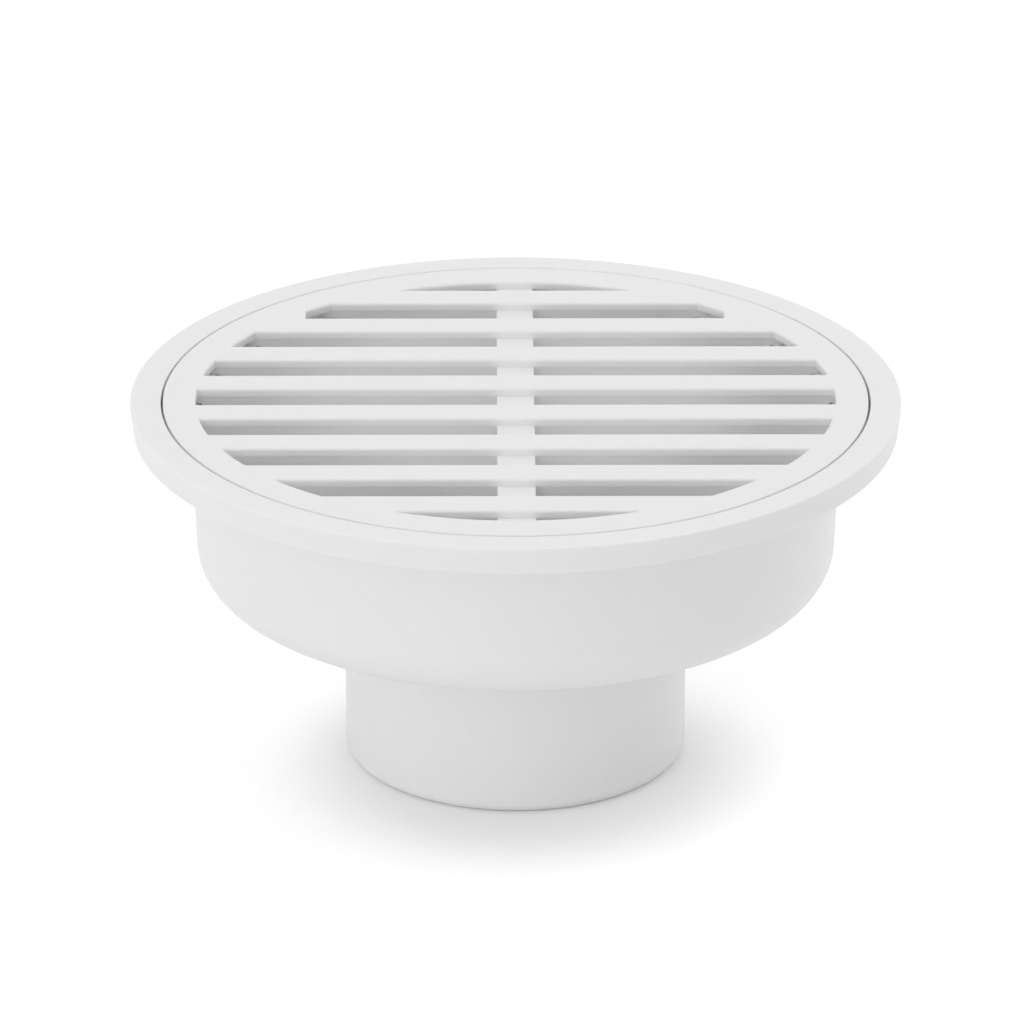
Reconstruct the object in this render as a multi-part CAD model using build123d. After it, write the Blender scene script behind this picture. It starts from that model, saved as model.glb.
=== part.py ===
from build123d import *
import os

# A round floor trap of white moulded plastic, in millimetres.
# The origin is the centre of the outlet spigot's end face, and +Z is up, through the grate.
# The grate's slats run along X, and its rib runs along Y.

# Overall
overall_height = 55.2          # spigot end to the top of the flange
bowl_depth = 28.0              # top of the flange to the flat underside of the bowl

# Flange
flange_radius = 55.95          # at its top edge
flange_thickness = 4.05
flange_draft = 0.45            # the flange's rim is this much smaller at its lower edge
flange_round = 0.2

# Bowl
bowl_radius = 47.25            # outside, just under the flange
bowl_draft = 0.9               # the wall is this much smaller at its foot
bowl_wall = 2.2
bowl_floor = 2.4
bowl_round = 6.2               # outside corner between wall and underside
bowl_inner_bevel = 2.0         # corner between wall and floor, inside

# Outlet spigot and standpipe, one bore through both
spigot_radius = 25.0           # outside radius of a 50 mm pipe end, without draft
spigot_round = 1.6             # lead-in at the end
spigot_wall = 2.5
standpipe_draft = 0.25
rim_bevel = 0.5                # outer edge of the standpipe's rim

# Seat of the grate
grate_clearance = 0.32         # gap all round, seen as a thin line
mouth_lead = 1.5               # chamfer from the seat down to the bowl's inner wall
seat_round = 0.2               # round edge of the seat's mouth

# Grate
grate_radius = 51.15
grate_rim_thickness = 2.4
grate_edge_bevel = 0.1
slot_pitch = 11.29
slot_width = 5.95
slot_count = 9
slot_field_width = 46.4        # half the width of the oval on which the slots' ends lie
slot_field_depth = 45.6        # and half its depth, from front to back
slot_corner_round = 0.12
blunt_slot = 7                 # this slot, counted from 0 at the front, has its sharp tips cut off
blunt_slot_reach = 31.1        # this far from the middle
pocket_reach = 1.3             # below the parting line the slots run on under the rim by this much
slat_edge_round = 0.4
parting_depth = 1.25           # top face down to the slats' parting line
parting_step = 0.15            # the lower half of each slat is set back by this
slat_depth = 3.5
slat_draft_angle = 7.0         # degrees, below the parting line
rib_width = 5.4
rib_depth = 6.0
rib_foot_width = 4.2
well_clearance = 0.6           # between the grate's lower half and the bowl's mouth and wall

# Water seal bell
bell_radius = 34.8             # outside, at the crown
bell_draft = 0.4
bell_wall = 1.8
bell_crown = 1.8
bell_round = 2.6
bell_inner_bevel = 0.8         # corner between skirt and crown, inside
bell_headroom = 0.7            # crown of the bell to the foot of the grate's rib
flow_height = 4.6              # rim of the standpipe to the inside of the crown
skirt_clearance = 4.5          # floor of the bowl to the skirt, where the water passes
fin_count = 4
fin_thickness = 1.6
fin_reach = 5.0                # from the standpipe's outside inwards
fin_lug_depth = 3.5            # centring lug, outside the standpipe's rim
fin_clearance = 0.3
fin_first_angle = 45.0

# Heights and radii that follow
top = overall_height
flange_under = top - flange_thickness
bowl_under = top - bowl_depth
floor_level = bowl_under + bowl_floor
seat_radius = grate_radius + grate_clearance
seat_level = top - grate_rim_thickness
bowl_inner_radius = bowl_radius - bowl_wall
mouth_radius = bowl_inner_radius + mouth_lead
bore_radius = spigot_radius - spigot_wall
standpipe_top_radius = spigot_radius - standpipe_draft
parting_level = top - parting_depth
slat_foot_level = top - slat_depth
rib_foot_level = top - rib_depth
well_radius = bowl_inner_radius - well_clearance
crown_top = rib_foot_level - bell_headroom
crown_under = crown_top - bell_crown
rim_level = crown_under - flow_height
skirt_level = floor_level + skirt_clearance
bell_inner_radius = bell_radius - bell_wall
through = 1.0                  # how far a cutter runs past a face
full_turn = 360.0


def turned(corners):
    """Solid of revolution about Z. Each corner of the half section is (radius, height, round)."""
    section = Face(Wire.make_polygon([(r, 0, z) for r, z, _ in corners], close=True))
    for r, z, corner_round in corners:
        if corner_round > 0:
            corner = section.vertices().sort_by_distance((r, 0, z))[0]
            section = section.fillet_2d(corner_round, [corner])
    return revolve(section, axis=Axis.Z)


def make_trap_body():
    """Flange, bowl, spigot and standpipe: one moulding."""
    bowl_foot = bowl_radius - bowl_draft
    return turned([
        (bore_radius, 0, 0),
        (spigot_radius, 0, spigot_round),
        (spigot_radius, bowl_under, 0),
        (bowl_foot, bowl_under, bowl_round),
        (bowl_radius, flange_under, 0),
        (flange_radius - flange_draft, flange_under, flange_round),
        (flange_radius, top, flange_round),
        (seat_radius, top, seat_round),
        (seat_radius, seat_level, 0),
        (mouth_radius, seat_level, 0),
        (bowl_inner_radius, seat_level - mouth_lead, 0),
        (bowl_foot - bowl_wall, floor_level + bowl_inner_bevel, 0),
        (bowl_foot - bowl_wall - bowl_inner_bevel, floor_level, 0),
        (spigot_radius, floor_level, 0),
        (standpipe_top_radius, rim_level - rim_bevel, 0),
        (standpipe_top_radius - rim_bevel, rim_level, 0),
        (bore_radius, rim_level, 0),
    ])


def slot_regions(beyond, width):
    """The slots seen from above, as flat faces with rounded corners, at height 0. Their ends lie this far beyond
    the oval."""
    field = Face(Wire.make_ellipse(slot_field_width + beyond, slot_field_depth + beyond))
    regions = []
    for k in range(slot_count):
        y = (k - (slot_count - 1) / 2) * slot_pitch
        reach = blunt_slot_reach if k == blunt_slot else slot_field_width
        strip = Pos(0, y, 0) * Rectangle(2 * (reach + beyond), width)
        for region in (strip & field).faces():
            regions.append(region.fillet_2d(slot_corner_round, region.vertices()))
    return regions


def grate_envelope():
    """Rim above the seat and, below it, the room that the bowl's mouth and wall leave."""
    return turned([
        (0, top, 0),
        (grate_radius - grate_edge_bevel, top, 0),
        (grate_radius, top - grate_edge_bevel, 0),
        (grate_radius, seat_level, 0),
        (mouth_radius - well_clearance, seat_level, 0),
        (well_radius, seat_level - mouth_lead, 0),
        (well_radius, rib_foot_level, 0),
        (0, rib_foot_level, 0),
    ])


def make_grate():
    """Thin plate with the slots, drafted bars under it between them, and the rib across: one moulding.
    The parting line is level with the plate's underside and the rib's top."""
    blank = split(grate_envelope(), bisect_by=Plane.XY.offset(slat_foot_level), keep=Keep.TOP)
    lower_depth = parting_level - slat_foot_level + through
    for region in slot_regions(0, slot_width):
        blank -= Pos(0, 0, parting_level) * extrude(region, parting_depth + through)
    for region in slot_regions(pocket_reach, slot_width + 2 * parting_step):
        blank -= Pos(0, 0, parting_level) * extrude(region, -lower_depth, taper=-slat_draft_angle)
    slot_edges = [
        edge for edge in blank.edges().filter_by_position(Axis.Z, top, top)
        if edge.distance_to(Vertex(0, 0, top)) < slot_field_width
    ]
    return fillet(slot_edges, slat_edge_round) + make_rib()


def make_rib():
    """Drafted bar under the slats, from rim to rim."""
    bar = Face(Wire.make_polygon([
        (-rib_width / 2, 0, parting_level),
        (rib_width / 2, 0, parting_level),
        (rib_foot_width / 2, 0, rib_foot_level),
        (-rib_foot_width / 2, 0, rib_foot_level),
    ], close=True))
    return extrude(bar, slot_field_width + pocket_reach + through, both=True) & grate_envelope()


def make_seal_bell():
    """Upturned cup with fins inside that rest on the standpipe and centre it: one moulding."""
    cup = turned([
        (0, crown_top, 0),
        (bell_radius, crown_top, bell_round),
        (bell_radius + bell_draft, skirt_level, 0),
        (bell_inner_radius + bell_draft, skirt_level, 0),
        (bell_inner_radius, crown_under - bell_inner_bevel, 0),
        (bell_inner_radius - bell_inner_bevel, crown_under, 0),
        (0, crown_under, 0),
    ])
    embed = bell_wall / 2
    fin_inner = spigot_radius - fin_reach
    fin_outer = bell_inner_radius + embed
    lug_inner = spigot_radius + fin_clearance
    lug_level = rim_level - fin_lug_depth
    outline = Face(Wire.make_polygon([
        (fin_inner, 0, crown_under + embed),
        (fin_outer, 0, crown_under + embed),
        (fin_outer, 0, lug_level),
        (lug_inner, 0, lug_level),
        (lug_inner, 0, rim_level),
        (fin_inner, 0, rim_level),
    ], close=True))
    fin = extrude(outline, fin_thickness / 2, both=True)
    for k in range(fin_count):
        cup += Rot(0, 0, fin_first_angle + k * full_turn / fin_count) * fin
    return cup


parts = {
    "trap_body": make_trap_body(),
    "grate": make_grate(),
    "seal_bell": make_seal_bell(),
}

os.makedirs("parts", exist_ok=True)
for name, shape in parts.items():
    export_step(shape, f"parts/{name}.step")
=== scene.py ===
import bpy
import math
from mathutils import Matrix, Vector


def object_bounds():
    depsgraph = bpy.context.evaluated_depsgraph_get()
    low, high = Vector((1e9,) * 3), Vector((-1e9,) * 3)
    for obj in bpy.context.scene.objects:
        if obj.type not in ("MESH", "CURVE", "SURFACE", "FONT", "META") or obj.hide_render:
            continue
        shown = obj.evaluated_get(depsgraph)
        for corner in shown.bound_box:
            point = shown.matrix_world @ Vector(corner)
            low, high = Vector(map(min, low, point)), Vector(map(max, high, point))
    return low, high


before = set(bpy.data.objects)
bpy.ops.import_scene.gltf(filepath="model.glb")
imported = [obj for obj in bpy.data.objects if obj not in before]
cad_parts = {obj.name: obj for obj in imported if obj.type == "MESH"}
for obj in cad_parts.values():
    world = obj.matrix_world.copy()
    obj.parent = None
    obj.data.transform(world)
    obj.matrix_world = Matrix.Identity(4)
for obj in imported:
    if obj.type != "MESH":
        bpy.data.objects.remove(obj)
cad_low, cad_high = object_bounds()

MM = 0.001

# Camera: a long lens, a little over a metre away, looking down at the trap.
CAMERA_DISTANCE = 1.1192
CAMERA_ELEVATION = 0.403        # radians above the horizon
CAMERA_TURN = 0.0035            # radians to the left of straight ahead
CAMERA_LENS = 269.5             # mm, on a sensor 36 mm wide
SENSOR_WIDTH = 36.0
AIM_RIGHT = -0.53 * MM          # the aim point, beside the trap's axis
AIM_BELOW_TOP = 18.27 * MM      # and under the top of the flange

# Light: a white room with three soft glows, each an azimuth and elevation in degrees and a strength.
# Azimuth 0 is +X, to the right, and 90 is +Y, away from the camera.
ROOM_LIGHT = 0.42
GLOWS = [
    (0, 90, 0.80),              # white ceiling
    (225, 12, 1.30),            # large soft box, low at the front left
    (45, 12, 1.35),             # large soft box, low behind on the right
]
GLOW_NARROWNESS = 6.0

# Floor, with a shadow painted on it round the spigot
FLOOR_SIDE = 8.0
# The camera-only lift fades towards a point 2 mm right of and 8 mm in front of the axis. This paints a shadow
# round the spigot, on top of the real one.
PAINTED_SHADOW_MIDDLE = (2.0 * MM, -8.0 * MM, 0.0)
PAINTED_SHADOW_CORE = 20.0 * MM         # the lift starts this far from the painted shadow's middle; nearer in, the floor stays darker: painted shade
PAINTED_SHADOW_EDGE = 42.0 * MM         # and is whole from here
CORE_LIFT = 0.10
FLOOR_LIFT = 0.35               # what the floor gives the camera on top of its own light

# Moulded plastic, one set of sizes for all three pieces
PVC_IOR = 1.54
FLOW_PATCH = 11.0 * MM          # patches of flow, a shade apart in tone and gloss
GLOSS_SPREAD = 0.05             # how far the roughness strays to each side in them
SATIN_GRAIN = 0.45 * MM         # the real satin is finer: it is drawn this coarse to show
SATIN_HEIGHT = 0.02 * MM
SATIN_STRENGTH = 0.06
SHRINK_WAVE = 17.0 * MM         # slow waves of the flat faces
SHRINK_HEIGHT = 0.12 * MM
SHRINK_STRENGTH = 0.5
LIGHT_DEPTH = 0.7 * MM          # how far light spreads inside the white plastic
LIGHT_SHARE = 0.35              # and the share of the surface's light that does so


def linear(hex_colour):
    """An sRGB hex colour as linear red, green, blue and alpha."""
    channels = [int(hex_colour[i:i + 2], 16) / 255 for i in (1, 3, 5)]
    return [c / 12.92 if c <= 0.04045 else ((c + 0.055) / 1.055) ** 2.4 for c in channels] + [1.0]


def new_material(name):
    """An empty node material, and its tree."""
    material = bpy.data.materials.new(name)
    material.use_nodes = True
    material.node_tree.nodes.clear()
    return material, material.node_tree


def add(tree, kind, settings=None, inputs=None, links=None):
    """Adds a node: settings are its properties, inputs its constant sockets, and links those fed by
    other nodes."""
    node = tree.nodes.new(kind)
    for name, value in (settings or {}).items():
        setattr(node, name, value)
    for name, value in (inputs or {}).items():
        node.inputs[name].default_value = value
    for name, socket in (links or {}).items():
        tree.links.new(socket, node.inputs[name])
    return node


def moulded_pvc(name, light_hex, dark_hex, roughness):
    """Injection moulded PVC-U, white with titanium dioxide. The polished steel mould leaves a fine
    satin, the plastic's flow leaves patches a shade apart in tone and gloss, and its shrinking
    leaves flat faces a little wavy. Light spreads a little inside it, which softens small shadows."""
    material, tree = new_material(name)
    place = add(tree, "ShaderNodeTexCoord").outputs["Object"]
    flow = add(tree, "ShaderNodeTexNoise",
               inputs={"Scale": 1 / FLOW_PATCH, "Detail": 3.0, "Roughness": 0.45},
               links={"Vector": place})
    colour = add(tree, "ShaderNodeMix", {"data_type": "RGBA"},
                 {6: linear(dark_hex), 7: linear(light_hex)}, {0: flow.outputs["Fac"]})
    gloss = add(tree, "ShaderNodeMapRange",
                inputs={"To Min": roughness - GLOSS_SPREAD, "To Max": roughness + GLOSS_SPREAD},
                links={"Value": flow.outputs["Fac"]})
    satin = add(tree, "ShaderNodeTexNoise", inputs={"Scale": 1 / SATIN_GRAIN, "Detail": 2.0},
                links={"Vector": place})
    wave = add(tree, "ShaderNodeTexNoise", inputs={"Scale": 1 / SHRINK_WAVE, "Detail": 1.0},
               links={"Vector": place})
    grain = add(tree, "ShaderNodeBump",
                inputs={"Strength": SATIN_STRENGTH, "Distance": SATIN_HEIGHT},
                links={"Height": satin.outputs["Fac"]})
    shrink = add(tree, "ShaderNodeBump",
                 inputs={"Strength": SHRINK_STRENGTH, "Distance": SHRINK_HEIGHT},
                 links={"Height": wave.outputs["Fac"], "Normal": grain.outputs["Normal"]})
    shader = add(tree, "ShaderNodeBsdfPrincipled",
                 inputs={"IOR": PVC_IOR, "Subsurface Weight": LIGHT_SHARE,
                         "Subsurface Radius": (1, 1, 1), "Subsurface Scale": LIGHT_DEPTH},
                 links={"Base Color": colour.outputs[2], "Roughness": gloss.outputs["Result"],
                        "Normal": shrink.outputs["Normal"]})
    add(tree, "ShaderNodeOutputMaterial", links={"Surface": shader.outputs["BSDF"]})
    return material


def finish_node(name, material):
    """Gives a node's object its one material."""
    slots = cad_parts[name].data.materials
    slots.clear()
    slots.append(material)


def add_shown(tree):
    """Adds nodes that give 1 where the camera sees the surface itself, in a reflection or through glass."""
    path = add(tree, "ShaderNodeLightPath")
    mirrored = add(tree, "ShaderNodeMath", {"operation": "ADD"},
                   links={0: path.outputs["Is Glossy Ray"], 1: path.outputs["Is Transmission Ray"]})
    shown = add(tree, "ShaderNodeMath", {"operation": "ADD", "use_clamp": True},
                links={0: path.outputs["Is Camera Ray"], 1: mirrored.outputs[0]})
    return shown.outputs[0]


def make_floor():
    """A large sheet of matt white paper. What the camera sees of it is lifted to plain white. Round
    the spigot the lift fades. This shows the object's own shadow and also paints more shadow there, reaching
    further in front than at the sides."""
    half = FLOOR_SIDE / 2
    mesh = bpy.data.meshes.new("floor")
    corners = [(-half, -half, 0), (half, -half, 0), (half, half, 0), (-half, half, 0)]
    mesh.from_pydata(corners, [], [(0, 1, 2, 3)])
    floor = bpy.data.objects.new("floor", mesh)
    bpy.context.scene.collection.objects.link(floor)
    material, tree = new_material("white_paper_and_painted_shadow")
    place = add(tree, "ShaderNodeTexCoord").outputs["Object"]
    away = add(tree, "ShaderNodeVectorMath", {"operation": "DISTANCE"},
               {1: PAINTED_SHADOW_MIDDLE}, {0: place})
    # Less lift near the spigot: painted shadow, added to the floor's real shadow
    lift = add(tree, "ShaderNodeMapRange", {"interpolation_type": "SMOOTHSTEP"},
               {"From Min": PAINTED_SHADOW_CORE, "From Max": PAINTED_SHADOW_EDGE,
                "To Min": CORE_LIFT, "To Max": FLOOR_LIFT},
               {"Value": away.outputs["Value"]})
    paper = add(tree, "ShaderNodeBsdfDiffuse", inputs={"Color": linear("#f4f4f4")})
    glow = add(tree, "ShaderNodeEmission", inputs={"Color": linear("#ffffff")},
               links={"Strength": lift.outputs["Result"]})
    lifted = add(tree, "ShaderNodeAddShader",
                 links={0: paper.outputs["BSDF"], 1: glow.outputs["Emission"]})
    choice = add(tree, "ShaderNodeMixShader",
                 links={0: add_shown(tree), 1: paper.outputs["BSDF"], 2: lifted.outputs[0]})
    add(tree, "ShaderNodeOutputMaterial", links={"Surface": choice.outputs["Shader"]})
    mesh.materials.append(material)


def make_room():
    """A white room. Each glow adds strength * exp(narrowness * (c - 1)), where c is the cosine of the
    angle to its middle. The camera itself sees plain white."""
    world = bpy.data.worlds.new("white_room")
    bpy.context.scene.world = world
    world.use_nodes = True
    tree = world.node_tree
    tree.nodes.clear()
    direction = add(tree, "ShaderNodeTexCoord").outputs["Generated"]
    light = add(tree, "ShaderNodeValue")
    light.outputs[0].default_value = ROOM_LIGHT
    for azimuth, elevation, strength in GLOWS:
        turn, rise = math.radians(azimuth), math.radians(elevation)
        level = math.cos(rise)
        middle = (level * math.cos(turn), level * math.sin(turn), math.sin(rise))
        cosine = add(tree, "ShaderNodeVectorMath", {"operation": "DOT_PRODUCT"},
                     {1: middle}, {0: direction})
        fall = add(tree, "ShaderNodeMath", {"operation": "MULTIPLY_ADD"},
                   {1: GLOW_NARROWNESS, 2: -GLOW_NARROWNESS}, {0: cosine.outputs["Value"]})
        spread = add(tree, "ShaderNodeMath", {"operation": "EXPONENT"}, links={0: fall.outputs[0]})
        light = add(tree, "ShaderNodeMath", {"operation": "MULTIPLY_ADD"}, {1: strength},
                    {0: spread.outputs[0], 2: light.outputs[0]})
    room = add(tree, "ShaderNodeBackground", inputs={"Color": linear("#ffffff")},
               links={"Strength": light.outputs[0]})
    backdrop = add(tree, "ShaderNodeBackground",
                   inputs={"Color": linear("#ffffff"), "Strength": 1.0})
    choice = add(tree, "ShaderNodeMixShader",
                 links={0: add_shown(tree), 1: room.outputs["Background"], 2: backdrop.outputs["Background"]})
    add(tree, "ShaderNodeOutputWorld", links={"Surface": choice.outputs["Shader"]})


def make_camera():
    """The camera stands on a circle about the trap's axis and looks at the aim point."""
    level_back = Vector((-math.sin(CAMERA_TURN), -math.cos(CAMERA_TURN), 0))
    right = Vector((math.cos(CAMERA_TURN), -math.sin(CAMERA_TURN), 0))
    back = math.cos(CAMERA_ELEVATION) * level_back + Vector((0, 0, math.sin(CAMERA_ELEVATION)))
    up = back.cross(right)
    aim = AIM_RIGHT * right + Vector((0, 0, cad_high.z - AIM_BELOW_TOP))
    turn = Matrix((right, up, back)).transposed().to_4x4()
    camera = bpy.data.objects.new("camera", bpy.data.cameras.new("camera"))
    camera.data.lens = CAMERA_LENS
    camera.data.sensor_width = SENSOR_WIDTH
    camera.matrix_world = Matrix.Translation(aim + back * CAMERA_DISTANCE) @ turn
    bpy.context.scene.collection.objects.link(camera)
    bpy.context.scene.camera = camera


finish_node("trap_body", moulded_pvc("moulded_pvc_body", "#f8f8f8", "#f5f5f5", 0.42))
finish_node("grate", moulded_pvc("moulded_pvc_grate", "#f8f8f8", "#f5f5f5", 0.42))
finish_node("seal_bell", moulded_pvc("moulded_pvc_bell", "#f3f3f3", "#eeeeee", 0.48))
make_floor()
make_room()
make_camera()
bpy.context.scene.view_settings.view_transform = "Standard"
